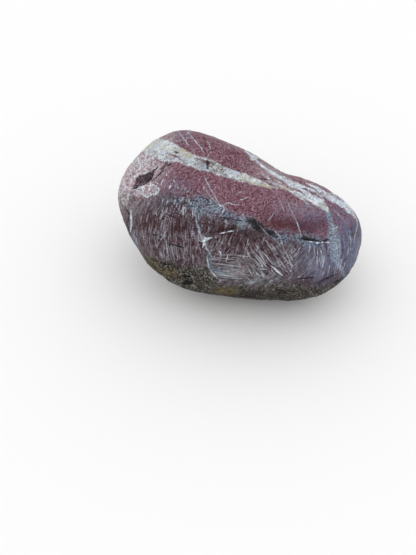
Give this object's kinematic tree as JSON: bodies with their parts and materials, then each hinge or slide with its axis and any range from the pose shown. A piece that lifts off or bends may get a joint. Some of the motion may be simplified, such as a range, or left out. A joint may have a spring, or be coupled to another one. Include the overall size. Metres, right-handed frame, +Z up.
{
  "type": "jasper chunk",
  "caption": "Fist-sized river-worn stone with rounded faces, a shallow waist, a small chipped pocket and a small flat it rests on.",
  "frame": {"origin": "under the middle of the stone's box, on the plane it rests on", "axes": "+Z up; +X along the stone's length, towards its narrow end; +Y towards its back"},
  "size_m": [0.0986, 0.0714, 0.0544],
  "materials": {
    "red_jasper": "worn and scratched maroon stone with pale veins, satin"
  },
  "bodies": {
    "root": {"jasper_stone": "red_jasper"}
  },
  "joints": []
}
